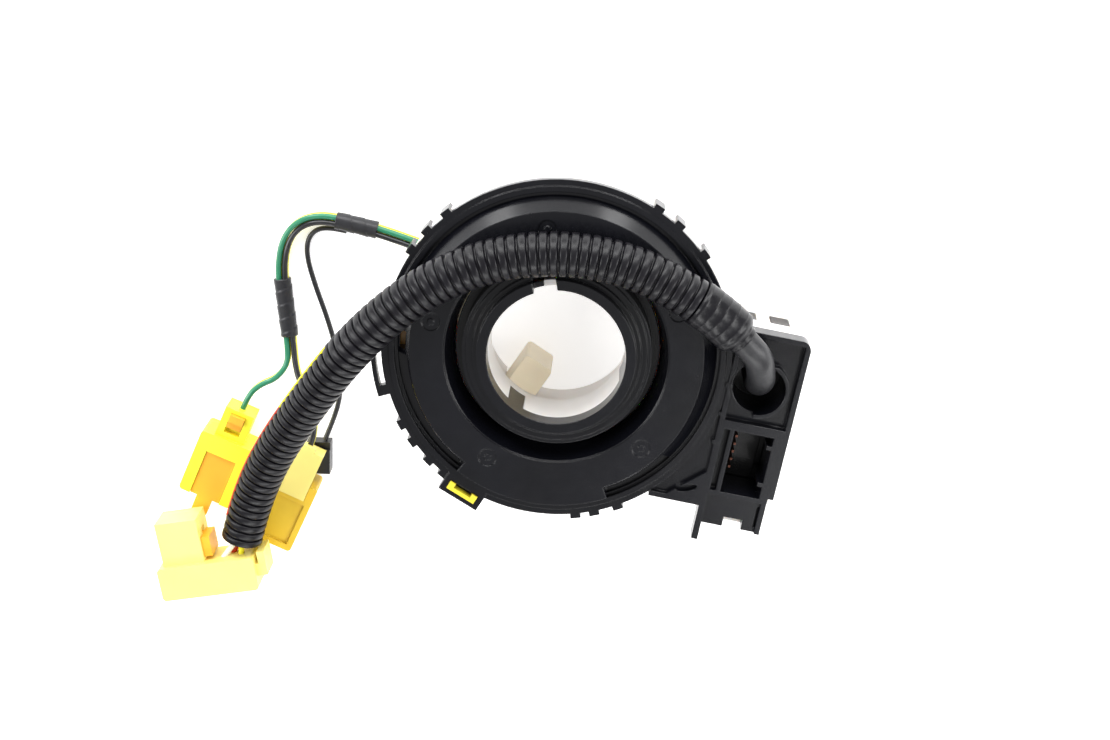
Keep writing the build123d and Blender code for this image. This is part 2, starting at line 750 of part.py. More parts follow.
with BuildPart() as wheel_socket_pins:
    with BuildSketch(polar_plane(wheel_socket_azimuth, flange_bottom - wheel_socket_floor - wheel_pin_height)):
        with Locations((socket_mid, 0)):
            with GridLocations(socket_run / (wheel_pin_count + 1), 0, wheel_pin_count, 1):
                Rectangle(wheel_pin_side, wheel_pin_side)
    extrude(amount=wheel_pin_height + wheel_socket_floor - overrun)

# Wire exit tower: a hollow foot under the hub with a low nozzle for the wheel-side wires
with BuildPart() as wire_exit_cover:
    with BuildSketch(polar_plane(exit_azimuth, 0)):
        with Locations(((exit_inner + exit_outer) / 2, 0)):
            RectangleRounded(exit_outer - exit_inner, exit_width, exit_corner)
    extrude(amount=flange_bottom)
    with BuildSketch(polar_plane(exit_azimuth, 0)):
        span_rectangle(exit_outer - exit_corner, exit_reach, -exit_nozzle_width / 2, exit_nozzle_width / 2)
        fillet(vertices().group_by(Axis.X)[-1], radius=exit_corner)
    extrude(amount=exit_nozzle_height)

# Corrugated conduit of the case-side harness, and the sleeve and neck at its block end
conduit_diameter = 13.0
sleeve_diameter = 13.8
neck_diameter = 8.4
sleeve_start = (54.4, 6.6, 45.6)
sleeve_bend = (47.9, 14.04, 46.4)
sleeve_points = (sleeve_start, sleeve_bend, (41.2, 18.4, 46.4))
conduit_points = (
    (41.2, 18.4, 46.4),
    (29.9, 25.75, 46.4),
    (15.85, 31.0, 46.4),
    (1.0, 33.1, 46.4),
    (-13.95, 31.9, 46.4),
    (-28.3, 27.5, 46.4),
    (-41.4, 20.2, 46.2),
    (-53.0, 10.7, 45.0),
    (-63.2, -0.3, 41.6),
    (-72.4, -12.1, 36.6),
    (-81.2, -24.2, 31.0),
    (-89.4, -36.8, 26.0),
    (-95.3, -48.4, 22.2),
    (-99.6, -59.6, 20.7),
    (-101.9, -67.2, 20.5),
)
sleeve_radii = corner_radii(sleeve_points)
conduit_radii = corner_radii(conduit_points)
neck_start = block_point(well_v, well_w, well_bottom + thin_wall)
neck_rise = 11.0
neck_run = 7.0
neck_lean = (60.6, -8.0, 37.4)
neck_along = (Vector(*sleeve_bend) - Vector(*sleeve_start)).normalized()
neck_end = Vector(*sleeve_start) - neck_along * fit_gap
neck_bend = neck_end - neck_along * neck_run
neck_points = (
    neck_start,
    (neck_start[0], neck_start[1], neck_start[2] + neck_rise),
    neck_lean,
    (neck_bend.X, neck_bend.Y, neck_bend.Z),
    (neck_end.X, neck_end.Y, neck_end.Z),
)
neck_radii = corner_radii(neck_points)


def cord(points, radii, diameter):
    """A plain round cord along straight runs joined by tangent arcs."""
    with BuildPart() as made:
        with BuildLine() as route:
            FilletPolyline(*points, radius=radii)
        with BuildSketch(Plane(origin=route.line @ 0, z_dir=route.line % 0)):
            Circle(diameter / 2)
        sweep()
    return made.part, route.line


neck_part, neck_line = cord(neck_points, neck_radii, neck_diameter)
report_cord("cable_neck", neck_line, neck_part, neck_diameter, neck_radii)
with BuildPart() as cable_neck:
    add(neck_part)

conduit_part, conduit_line = cord(conduit_points, conduit_radii, conduit_diameter)
report_cord("conduit", conduit_line, conduit_part, conduit_diameter, conduit_radii)
with BuildPart() as conduit:
    add(conduit_part)

sleeve_part, sleeve_line = cord(sleeve_points, sleeve_radii, sleeve_diameter)
report_cord("conduit_sleeve", sleeve_line, sleeve_part, sleeve_diameter, sleeve_radii)
with BuildPart() as conduit_sleeve:
    add(sleeve_part)

# Wheel-side wires: four in a square bundle, and the thin horn wire beside them
wire_diameter = 1.8
horn_wire_diameter = 1.6
bundle_points = (
    (-55.0, 28.9, 0),
    (-64.5, 31.4, 0),
    (-73.6, 33.6, 0),
    (-80.8, 31.9, 0),
    (-85.6, 26.3, 0),
    (-87.4, 17.0, 0),
    (-86.7, 5.4, 0),
    (-85.8, -6.2, 0),
)
bundle_height = 2.8
bundle_step = 1.9
bundle_side = 1.0
wire_seat = 0.5


def beside(points, side, height):
    """A hand-placed route moved sideways in plan by a fixed distance, and set at a height."""
    moved = []
    for index, (x, y, z) in enumerate(points):
        before = points[max(index - 1, 0)]
        after = points[min(index + 1, len(points) - 1)]
        along = Vector(after[0] - before[0], after[1] - before[1], 0).normalized()
        moved.append((x - side * along.Y, y + side * along.X, z + height))
    return moved


def raised(points, height):
    """A hand-placed route raised by a height."""
    return [(x, y, z + height) for x, y, z in points]


# Connectors of the wheel-side wires: where the wires enter them and which way they point
squib_left_place = (-101.6, -27.6)
squib_left_azimuth = -115.0
squib_left_entry = 5.4
squib_right_place = (-80.5, -39.9)
squib_right_azimuth = -116.0
squib_right_entry = 8.2
tail_run = 5.0


def before_face(place, azimuth, distance, height):
    """A point in front of a connector's wire face, on its axis."""
    dx, dy = polar(distance, azimuth)
    return place[0] - dx, place[1] - dy, height


left_tail = (
    (-86.8, -13.6, 2.2),
    (-90.6, -18.2, 3.6),
    (-95.6, -19.8, 4.8),
    before_face(squib_left_place, squib_left_azimuth, tail_run, squib_left_entry),
    before_face(squib_left_place, squib_left_azimuth, -wire_seat, squib_left_entry),
)
right_tail = (
    (-84.4, -15.2, 2.9),
    (-81.8, -22.2, 5.2),
    (-79.2, -28.8, 6.2),
    before_face(squib_right_place, squib_right_azimuth, tail_run, squib_right_entry),
    before_face(squib_right_place, squib_right_azimuth, -wire_seat, squib_right_entry),
)
wire_start = polar(exit_reach - wire_seat, exit_azimuth) + (0,)
trunk = (wire_start,) + bundle_points
low = bundle_height - bundle_step / 2
wire_routes = {
    "yellow_wire_a": beside(trunk, -bundle_side, low) + raised(left_tail, 0),
    "green_wire": beside(trunk, -bundle_side, low + bundle_step) + raised(left_tail, bundle_step),
    "yellow_wire_b": beside(trunk, bundle_side, low) + raised(right_tail, 0),
    "black_wire": beside(trunk, bundle_side, low + bundle_step) + raised(right_tail, bundle_step),
}
horn_points = (
    (-66.5, 28.6, 0.85),
    (-71.2, 29.8, 0.85),
    (-76.0, 29.4, 0.85),
    (-79.0, 26.0, 0.85),
    (-79.4, 20.0, 0.85),
    (-77.2, 10.8, 0.85),
    (-74.3, 1.4, 0.85),
    (-72.0, -8.2, 0.85),
    (-70.9, -17.6, 0.85),
    (-71.3, -26.4, 1.2),
    (-73.8, -33.6, 2.0),
    (-76.6, -39.8, 2.6),
)
wrap_diameter = 5.6
upper_wrap_points = ((-56.6, 29.32, bundle_height), (-64.5, 31.4, bundle_height), (-69.3, 32.56, bundle_height))
lower_wrap_points = ((-87.2, 14.0, bundle_height), (-86.7, 5.4, bundle_height), (-85.95, -4.6, bundle_height))

wire_parts = {}
for name, points in wire_routes.items():
    radii = corner_radii(points)
    part, line = cord(points, radii, wire_diameter)
    report_cord(name, line, part, wire_diameter, radii)
    wire_parts[name] = part
with BuildPart() as yellow_wire_a:
    add(wire_parts["yellow_wire_a"])
with BuildPart() as yellow_wire_b:
    add(wire_parts["yellow_wire_b"])
with BuildPart() as green_wire:
    add(wire_parts["green_wire"])
with BuildPart() as black_wire:
    add(wire_parts["black_wire"])

horn_radii = corner_radii(horn_points)
horn_part, horn_line = cord(horn_points, horn_radii, horn_wire_diameter)
report_cord("horn_wire", horn_line, horn_part, horn_wire_diameter, horn_radii)
with BuildPart() as horn_wire:
    add(horn_part)

upper_part, upper_line = cord(upper_wrap_points, corner_radii(upper_wrap_points), wrap_diameter)
with BuildPart() as tape_wrap_upper:
    add(upper_part)
lower_part, lower_line = cord(lower_wrap_points, corner_radii(lower_wrap_points), wrap_diameter)
with BuildPart() as tape_wrap_lower:
    add(lower_part)

# Left squib connector: a narrow wire end, a wide body with a latch channel, and an open mating end
plug_height = 13.0
plug_corner = 1.2
plug_neck_length = 10.0
plug_neck_width = 9.6
plug_neck_bottom = 2.2
plug_neck_top = 11.2
plug_length = 31.5
plug_width = 17.6
plug_channel_width = 10.0
plug_channel_length = 15.5
plug_channel_depth = 3.0
cavity_depth = 9.5
cavity_width = 14.0
cavity_height = 6.2
cavity_floor = 1.8
lock_width = 4.8
lock_depth = 2.4
lock_proud = 1.6
lock_length = 5.0
lock_start = 1.4
lock_travel = 1.8
terminal_length = 6.5
terminal_width = 2.2
terminal_thickness = 0.8
terminal_spread = 5.6


def squib_left_plane(height):
    """The left connector's own plane at a height."""
    return piece_plane(squib_left_place, squib_left_azimuth, height)


def squib_right_plane(height):
    """The right connector's own plane at a height."""
    return piece_plane(squib_right_place, squib_right_azimuth, height)


with BuildPart() as squib_left_body:
    with BuildSketch(squib_left_plane(0)):
        span_rectangle(plug_neck_length, plug_length, -plug_width / 2, plug_width / 2)
        fillet(vertices(), radius=plug_corner)
    extrude(amount=plug_height)
    with BuildSketch(squib_left_plane(plug_neck_bottom)):
        span_rectangle(0, plug_neck_length + plug_corner, -plug_neck_width / 2, plug_neck_width / 2)
    extrude(amount=plug_neck_top - plug_neck_bottom)
    with BuildSketch(squib_left_plane(plug_height - plug_channel_depth)):
        half = plug_channel_width / 2
        span_rectangle(plug_length - plug_channel_length, plug_length + overrun, -half, half)
    extrude(amount=plug_channel_depth, mode=Mode.SUBTRACT)
    with BuildSketch(squib_left_plane(cavity_floor)):
        span_rectangle(plug_length - cavity_depth, plug_length + overrun, -cavity_width / 2, cavity_width / 2)
    extrude(amount=cavity_height, mode=Mode.SUBTRACT)
    with BuildSketch(squib_left_plane(plug_neck_top - lock_depth)):
        lock_half = lock_width / 2 + fit_gap
        slot_end = lock_start + lock_length + lock_travel + fit_gap
        span_rectangle(lock_start - fit_gap, slot_end, -lock_half, lock_half)
    extrude(amount=lock_depth, mode=Mode.SUBTRACT)

with BuildPart() as squib_left_lock:
    with BuildSketch(squib_left_plane(plug_neck_top - lock_depth + fit_gap)):
        span_rectangle(lock_start, lock_start + lock_length, -lock_width / 2, lock_width / 2)
    extrude(amount=lock_depth - fit_gap)
    with BuildSketch(squib_left_plane(plug_neck_top)):
        span_rectangle(lock_start, lock_start + lock_length / 2, -lock_width / 2, lock_width / 2)
    extrude(amount=lock_proud)

with BuildPart() as squib_left_terminals:
    with BuildSketch(squib_left_plane(cavity_floor + cavity_height / 2)):
        with Locations((plug_length - cavity_depth + terminal_length / 2, 0)):
            with GridLocations(0, terminal_spread, 1, 2):
                Rectangle(terminal_length, terminal_width)
    extrude(amount=terminal_thickness)

# Right squib connector: a pale plug pushed into a darker housing
right_plug_length = 16.5
right_plug_left = 4.2
right_plug_right = 5.4
right_plug_bottom = 6.2
right_tab_length = 1.5
right_tab_height = 1.8
housing_start = 11.5
housing_end = 35.5
housing_width = 16.4
housing_height = 11.5
housing_rim_length = 1.7
housing_rim_rise = 0.9
housing_panel_depth = 0.8
housing_panel_margin = 2.0
housing_cavity_width = 12.6

with BuildPart() as squib_right_plug:
    with BuildSketch(squib_right_plane(right_plug_bottom)):
        span_rectangle(0, right_plug_length, -right_plug_left, right_plug_right)
    extrude(amount=plug_height - right_plug_bottom)
    with BuildSketch(squib_right_plane(plug_height - right_tab_height)):
        span_rectangle(-right_tab_length, plug_corner, -right_plug_left / 2, right_plug_left / 2)
    extrude(amount=right_tab_height)
    fillet(edges().filter_by(Axis.Z).sort_by(Axis.Y)[-3:-1], radius=plug_corner / 2)

with BuildPart() as squib_right_housing:
    with BuildSketch(squib_right_plane(0)):
        span_rectangle(housing_start, housing_end, -housing_width / 2, housing_width / 2)
        fillet(vertices(), radius=plug_corner)
    extrude(amount=housing_height)
    with BuildSketch(squib_right_plane(housing_height)):
        rim_half = housing_width / 2 - plug_corner
        span_rectangle(housing_start, housing_start + housing_rim_length, -rim_half, rim_half)
    extrude(amount=housing_rim_rise)
    with BuildSketch(squib_right_plane(right_plug_bottom - fit_gap)):
        channel_end = right_plug_length + fit_gap
        span_rectangle(housing_start - overrun, channel_end, -right_plug_left - fit_gap, right_plug_right + fit_gap)
    extrude(amount=plug_height, mode=Mode.SUBTRACT)
    with BuildSketch(squib_right_plane(housing_height - housing_panel_depth)):
        panel_half = housing_width / 2 - housing_panel_margin
        panel_start = channel_end + housing_panel_margin
        span_rectangle(panel_start, housing_end - housing_panel_margin, -panel_half, panel_half)
    extrude(amount=housing_panel_depth, mode=Mode.SUBTRACT)
    with BuildSketch(squib_right_plane(cavity_floor)):
        half = housing_cavity_width / 2
        span_rectangle(housing_end - cavity_depth, housing_end + overrun, -half, half)
    extrude(amount=cavity_height, mode=Mode.SUBTRACT)

with BuildPart() as squib_right_terminals:
    with BuildSketch(squib_right_plane(cavity_floor + cavity_height / 2)):
        with Locations((housing_end - cavity_depth + terminal_length / 2, 0)):
            with GridLocations(0, terminal_spread, 1, 2):
                Rectangle(terminal_length, terminal_width)
    extrude(amount=terminal_thickness)

# Horn connector: a flat black housing that lies under the right squib plug
horn_place = (-78.4, -40.0)
horn_azimuth = -93.0
horn_length = 10.4
horn_width = 7.6
horn_height = 5.8
horn_step = 2.4
with BuildPart() as horn_connector:
    with BuildSketch(piece_plane(horn_place, horn_azimuth, 0)):
        span_rectangle(0, horn_length, -horn_width / 2, horn_width / 2)
    extrude(amount=horn_height)
    with BuildSketch(piece_plane(horn_place, horn_azimuth, horn_height - plug_corner)):
        span_rectangle(0, horn_step, -horn_width / 2, horn_width / 2)
    extrude(amount=plug_corner, mode=Mode.SUBTRACT)

# Floor connector at the far end of the conduit, propped on the wheel-side connectors
floor_place = (-126.9, -86.0)
floor_azimuth = 8.0
floor_bottom = 13.5
floor_height = 13.5
floor_length = 31.3
floor_depth = 11.0
tower_start = 2.0
tower_width = 13.4
tower_depth = 14.4
tower_drop = 2.0
arm_gap = 1.0
arm_width = 2.3
arm_start = 4.0
arm_end = 12.0
arm_root = 4.0
floor_columns = 5
floor_rows = 2
floor_hole_width = 3.6
floor_hole_height = 3.4
floor_hole_depth = 7.0
floor_column_pitch = 5.4
floor_row_pitch = 5.6
floor_lock_width = 2.8
floor_lock_tongue = 2.0
floor_lock_length = 6.5
floor_lock_start = 1.4
floor_lock_height = 8.5
floor_lock_travel = 2.0
floor_slot_height = 3.0
floor_slot_bottom = 4.0


def floor_plane(height):
    """The floor connector's own plane at a height above its underside."""
    return piece_plane(floor_place, floor_azimuth, floor_bottom + height)


def floor_point(x, y, z):
    """A point given in the floor connector's own directions."""
    point = floor_plane(z).from_local_coords((x, y, 0))
    return point.X, point.Y, point.Z


tower_end = tower_start + tower_width
with BuildPart() as floor_connector:
    with BuildSketch(floor_plane(0)):
        span_rectangle(0, floor_length, 0, floor_depth)
        fillet(vertices(), radius=plug_corner)
    extrude(amount=floor_height)
    with BuildSketch(floor_plane(0)):
        span_rectangle(tower_start, tower_end, floor_depth - plug_corner, floor_depth + tower_depth)
    extrude(amount=floor_height - tower_drop)
    with BuildSketch(floor_plane(tower_drop)):
        arm_from = floor_length + arm_gap
        span_rectangle(floor_length - arm_gap, arm_from + arm_width, arm_start, arm_start + arm_root)
        span_rectangle(arm_from, arm_from + arm_width, arm_start, arm_end)
    extrude(amount=floor_height - 2 * tower_drop)
    # Slot of the sliding lock in the side of the tower
    with BuildSketch(floor_plane(floor_slot_bottom)):
        slot_from = floor_depth + floor_lock_start - fit_gap
        slot_to = floor_depth + floor_lock_start + floor_lock_length + floor_lock_travel + fit_gap
        span_rectangle(tower_end - floor_lock_tongue - fit_gap, tower_end + overrun, slot_from, slot_to)
    extrude(amount=floor_slot_height, mode=Mode.SUBTRACT)
    # Mating holes
    mating_centre = floor_point(floor_length / 2, 0, floor_height / 2)
    with BuildSketch(Plane(origin=mating_centre, x_dir=floor_plane(0).x_dir, z_dir=floor_plane(0).y_dir)):
        with GridLocations(floor_column_pitch, floor_row_pitch, floor_columns, floor_rows):
            Rectangle(floor_hole_width, floor_hole_height)
    extrude(amount=floor_hole_depth, mode=Mode.SUBTRACT)

with BuildPart() as floor_connector_lock:
    lock_from = floor_depth + floor_lock_start
    with BuildSketch(floor_plane(floor_slot_bottom + fit_gap)):
        lock_to = lock_from + floor_lock_length
        lock_middle = tower_end + fit_gap + floor_lock_width / 2
        span_rectangle(tower_end - floor_lock_tongue, lock_middle, lock_from, lock_to)
    extrude(amount=floor_slot_height - 2 * fit_gap)
    with BuildSketch(floor_plane(tower_drop)):
        span_rectangle(tower_end + fit_gap, tower_end + floor_lock_width, lock_from, lock_to)
    extrude(amount=floor_lock_height)

# Short wires from the end of the conduit into the floor connector
floor_wire_spread = 3.2
floor_wire_height = 20.6
conduit_end = conduit_points[-1]
floor_wire_ends = {
    "floor_wire_white": (20.8, 1.4),
    "floor_wire_red": (23.4, -1.2),
    "floor_wire_yellow": (26.6, 1.0),
}


def floor_wire(end_x, height_offset):
    """A short wire from the conduit's end face straight to the back of the floor connector."""
    along = (Vector(*conduit_end) - Vector(*conduit_points[-2])).normalized()
    finish = Vector(*floor_point(end_x, floor_depth - wire_seat, floor_wire_height - floor_bottom))
    finish = Vector(finish.X, finish.Y, floor_wire_height + height_offset)
    across = Vector(along.Y, -along.X, 0).normalized()
    side = (finish - Vector(*conduit_end)).dot(across) / 2
    start = Vector(*conduit_end) + across * side + Vector(0, 0, height_offset) + along * fit_gap
    middle = start + along * floor_wire_spread / 2 + across * fit_gap
    return ((start.X, start.Y, start.Z), (middle.X, middle.Y, middle.Z), (finish.X, finish.Y, finish.Z))


floor_wire_parts = {}
for name, (end_x, height_offset) in floor_wire_ends.items():
    points = floor_wire(end_x, height_offset)
    radii = corner_radii(points)
    part, line = cord(points, radii, wire_diameter)
    report_cord(name, line, part, wire_diameter, radii)
    floor_wire_parts[name] = part
with BuildPart() as floor_wire_white:
    add(floor_wire_parts["floor_wire_white"])
with BuildPart() as floor_wire_red:
    add(floor_wire_parts["floor_wire_red"])
with BuildPart() as floor_wire_yellow:
    add(floor_wire_parts["floor_wire_yellow"])

pieces = {
    "rear_case": rear_case,
    "front_case": front_case,
    "terminal_header": terminal_header,
    "header_pins": header_pins,
    "stator_lead_block": stator_lead_block,
    "rim_clip": rim_clip,
    "ribbon_cable": ribbon_cable,
    "slide_film_rear": slide_film_rear,
    "slide_film_front": slide_film_front,
    "rotor_hub": rotor_hub,
    "cancel_cam_ring": cancel_cam_ring,
    "rotor_lead_block": rotor_lead_block,
    "wheel_socket": wheel_socket,
    "wheel_socket_pins": wheel_socket_pins,
    "wire_exit_cover": wire_exit_cover,
    "conduit": conduit,
    "conduit_sleeve": conduit_sleeve,
    "cable_neck": cable_neck,
    "yellow_wire_a": yellow_wire_a,
    "yellow_wire_b": yellow_wire_b,
    "green_wire": green_wire,
    "black_wire": black_wire,
    "horn_wire": horn_wire,
    "tape_wrap_upper": tape_wrap_upper,
    "tape_wrap_lower": tape_wrap_lower,
    "squib_left_body": squib_left_body,
    "squib_left_lock": squib_left_lock,
    "squib_left_terminals": squib_left_terminals,
    "squib_right_plug": squib_right_plug,
    "squib_right_housing": squib_right_housing,
    "squib_right_terminals": squib_right_terminals,
    "horn_connector": horn_connector,
    "floor_connector": floor_connector,
    "floor_connector_lock": floor_connector_lock,
    "floor_wire_white": floor_wire_white,
    "floor_wire_red": floor_wire_red,
    "floor_wire_yellow": floor_wire_yellow,
}
for name, piece in pieces.items():
    piece.part.label = name
    export_step(piece.part, f"parts/{name}.step")
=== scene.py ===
"""Looks of a steering clock spring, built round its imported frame. Lengths are metres."""

import math

import bpy
from mathutils import Matrix, Vector


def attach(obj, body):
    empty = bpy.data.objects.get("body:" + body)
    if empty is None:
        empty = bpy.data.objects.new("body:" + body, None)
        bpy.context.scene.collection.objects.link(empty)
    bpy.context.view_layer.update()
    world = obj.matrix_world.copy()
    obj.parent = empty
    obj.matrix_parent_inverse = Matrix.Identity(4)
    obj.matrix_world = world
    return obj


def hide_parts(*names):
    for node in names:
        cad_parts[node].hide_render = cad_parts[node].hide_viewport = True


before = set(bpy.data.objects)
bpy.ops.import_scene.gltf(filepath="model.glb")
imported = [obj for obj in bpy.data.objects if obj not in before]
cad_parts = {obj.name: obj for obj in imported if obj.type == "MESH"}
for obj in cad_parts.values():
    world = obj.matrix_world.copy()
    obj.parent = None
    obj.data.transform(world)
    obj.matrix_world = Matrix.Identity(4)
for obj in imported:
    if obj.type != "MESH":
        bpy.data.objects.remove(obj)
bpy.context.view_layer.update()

SENSOR_WIDTH = 36.0
PHOTO_WIDTH = 1110
FOCAL_PIXELS = 1800
CAMERA_PLACE = Vector((0.0228, 0.1592, 0.5442))
CAMERA_LOOK = Vector((-0.0437, -0.3079, -0.9504))
CAMERA_UP = Vector((0.0, 0.9513, -0.3082))

# Routes of the cords, the same points as in the part's source
SLEEVE_POINTS = ((0.0544, 0.0066, 0.0456), (0.0479, 0.01404, 0.0464), (0.0412, 0.0184, 0.0464))
CONDUIT_POINTS = (
    (0.0412, 0.0184, 0.0464),
    (0.0299, 0.02575, 0.0464),
    (0.01585, 0.0310, 0.0464),
    (0.0010, 0.0331, 0.0464),
    (-0.01395, 0.0319, 0.0464),
    (-0.0283, 0.0275, 0.0464),
    (-0.0414, 0.0202, 0.0462),
    (-0.0530, 0.0107, 0.0450),
    (-0.0632, -0.0003, 0.0416),
    (-0.0724, -0.0121, 0.0366),
    (-0.0812, -0.0242, 0.0310),
    (-0.0894, -0.0368, 0.0260),
    (-0.0953, -0.0484, 0.0222),
    (-0.0996, -0.0596, 0.0207),
    (-0.1019, -0.0672, 0.0205),
)
BUNDLE_POINTS = (
    (-0.0550, 0.0289, 0),
    (-0.0645, 0.0314, 0),
    (-0.0736, 0.0336, 0),
    (-0.0808, 0.0319, 0),
    (-0.0856, 0.0263, 0),
    (-0.0874, 0.0170, 0),
    (-0.0867, 0.0054, 0),
    (-0.0858, -0.0062, 0),
)
HORN_POINTS = (
    (-0.0665, 0.0286, 0.00085),
    (-0.0712, 0.0298, 0.00085),
    (-0.0760, 0.0294, 0.00085),
    (-0.0790, 0.0260, 0.00085),
    (-0.0794, 0.0200, 0.00085),
    (-0.0772, 0.0108, 0.00085),
    (-0.0743, 0.0014, 0.00085),
    (-0.0720, -0.0082, 0.00085),
    (-0.0709, -0.0176, 0.00085),
    (-0.0713, -0.0264, 0.0012),
    (-0.0738, -0.0336, 0.0020),
    (-0.0766, -0.0398, 0.0026),
)
LEFT_TAIL = ((-0.0868, -0.0136, 0.0022), (-0.0906, -0.0182, 0.0036), (-0.0956, -0.0198, 0.0048))
RIGHT_TAIL = ((-0.0844, -0.0152, 0.0029), (-0.0818, -0.0222, 0.0052), (-0.0792, -0.0288, 0.0062))
EXIT_AZIMUTH = 150.5
EXIT_REACH = 0.050
SQUIB_LEFT_PLACE = (-0.1016, -0.0276)
SQUIB_LEFT_AZIMUTH = -115.0
SQUIB_LEFT_ENTRY = 0.0054
SQUIB_RIGHT_PLACE = (-0.0805, -0.0399)
SQUIB_RIGHT_AZIMUTH = -116.0
SQUIB_RIGHT_ENTRY = 0.0082
TAIL_RUN = 0.005
WIRE_SEAT = 0.0005
BUNDLE_HEIGHT = 0.0028
BUNDLE_STEP = 0.0019
BUNDLE_SIDE = 0.001
WIRE_DIAMETER = 0.0018
HORN_WIRE_DIAMETER = 0.0016
UPPER_WRAP_POINTS = ((-0.0566, 0.02932, 0.0028), (-0.0645, 0.0314, 0.0028), (-0.0693, 0.03256, 0.0028))
LOWER_WRAP_POINTS = ((-0.0872, 0.0140, 0.0028), (-0.0867, 0.0054, 0.0028), (-0.08595, -0.0046, 0.0028))
CONDUIT_DIAMETER = 0.013
SLEEVE_DIAMETER = 0.0138
NECK_DIAMETER = 0.0084
WRAP_DIAMETER = 0.0056


def polar(radius, azimuth):
    """A point in plan from its radius and azimuth."""
    return radius * math.cos(math.radians(azimuth)), radius * math.sin(math.radians(azimuth))


def link(name, data):
    """A new object in the scene."""
    made = bpy.data.objects.new(name, data)
    bpy.context.scene.collection.objects.link(made)
    return made


def skin(name, vertices, faces, material):
    """A mesh object with one material."""
    mesh = bpy.data.meshes.new(name)
    mesh.from_pydata(vertices, [], faces)
    mesh.materials.append(material)
    return link(name, mesh)


# Materials
RAMP_SPAN = (0.3, 0.7)
CLOUD_SCALE = 60
CLOUD_DETAIL = 4
SMEAR_SCALE = 180
SMEAR_DETAIL = 6
SMEAR_ROUGHNESS = 0.6
FINE_DETAIL = 3
GLOSS_SHARES = (0.75, 1.3)
BEVEL_SAMPLES = 4
GRAIN_DEPTH = 0.0002
SCATTER_RADIUS = (0.004, 0.003, 0.002)
SCATTER_SCALE = 0.6
COAT_ROUGHNESS = 0.12
DRAWN_SCALE = 900
DRAWN_DARK_SHARE = 0.8
DRAWN_GLOSS_SHARES = (0.8, 1.4)


def start_material(name):
    """A new node material with its nodes, links and shader."""
    material = bpy.data.materials.new(name)
    material.use_nodes = True
    tree = material.node_tree
    return material, tree.nodes, tree.links, tree.nodes["Principled BSDF"]


def noise_node(nodes, links, scale, detail, roughness=0.5):
    """Noise in the object's own coordinates."""
    place = nodes.new("ShaderNodeTexCoord")
    noise = nodes.new("ShaderNodeTexNoise")
    noise.inputs["Scale"].default_value = scale
    noise.inputs["Detail"].default_value = detail
    noise.inputs["Roughness"].default_value = roughness
    links.new(place.outputs["Object"], noise.inputs["Vector"])
    return noise


def ramp_node(nodes, links, source, first, second):
    """A ramp between two colours over the middle of a value's range."""
    ramp = nodes.new("ShaderNodeValToRGB")
    for element, position, colour in zip(ramp.color_ramp.elements, RAMP_SPAN, (first, second)):
        element.position = position
        element.color = (*colour, 1)
    links.new(source, ramp.inputs["Fac"])
    return ramp


def range_node(nodes, links, source, low, high):
    """Maps a value from 0..1 to a range."""
    mapped = nodes.new("ShaderNodeMapRange")
    mapped.inputs["To Min"].default_value = low
    mapped.inputs["To Max"].default_value = high
    links.new(source, mapped.inputs["Value"])
    return mapped


def moulded(
    name, colour, roughness, vary, grain, edge=0.0003, grain_scale=2600, scatter=0.0, coat=0.0, shine=0.5,
):
    """Moulded plastic: cloudy colour, uneven gloss, a fine grain and slightly rounded edges."""
    material, nodes, links, shader = start_material(name)
    cloud = noise_node(nodes, links, CLOUD_SCALE, CLOUD_DETAIL)
    dark = [channel * (1 - vary) for channel in colour]
    light = [min(channel * (1 + vary), 1) for channel in colour]
    tint = ramp_node(nodes, links, cloud.outputs["Fac"], dark, light)
    links.new(tint.outputs["Color"], shader.inputs["Base Color"])
    smear = noise_node(nodes, links, SMEAR_SCALE, SMEAR_DETAIL, SMEAR_ROUGHNESS)
    gloss = range_node(nodes, links, smear.outputs["Fac"], *(roughness * share for share in GLOSS_SHARES))
    links.new(gloss.outputs["Result"], shader.inputs["Roughness"])
    bevel = nodes.new("ShaderNodeBevel")
    bevel.samples = BEVEL_SAMPLES
    bevel.inputs["Radius"].default_value = edge
    pores = noise_node(nodes, links, grain_scale, FINE_DETAIL)
    bump = nodes.new("ShaderNodeBump")
    bump.inputs["Strength"].default_value = grain
    bump.inputs["Distance"].default_value = GRAIN_DEPTH
    links.new(pores.outputs["Fac"], bump.inputs["Height"])
    links.new(bevel.outputs["Normal"], bump.inputs["Normal"])
    links.new(bump.outputs["Normal"], shader.inputs["Normal"])
    shader.inputs["Specular IOR Level"].default_value = shine
    if scatter:
        shader.inputs["Subsurface Weight"].default_value = scatter
        shader.inputs["Subsurface Radius"].default_value = SCATTER_RADIUS
        shader.inputs["Subsurface Scale"].default_value = SCATTER_SCALE
    if coat:
        shader.inputs["Coat Weight"].default_value = coat
        shader.inputs["Coat Roughness"].default_value = COAT_ROUGHNESS
    return material


def metal(name, colour, roughness):
    """Plated or bare metal with faint drawn lines."""
    material, nodes, links, shader = start_material(name)
    shader.inputs["Metallic"].default_value = 1.0
    lines = noise_node(nodes, links, DRAWN_SCALE, FINE_DETAIL)
    dark = [channel * DRAWN_DARK_SHARE for channel in colour]
    tint = ramp_node(nodes, links, lines.outputs["Fac"], dark, colour)
    links.new(tint.outputs["Color"], shader.inputs["Base Color"])
    gloss = range_node(nodes, links, lines.outputs["Fac"], *(roughness * share for share in DRAWN_GLOSS_SHARES))
    links.new(gloss.outputs["Result"], shader.inputs["Roughness"])
    return material


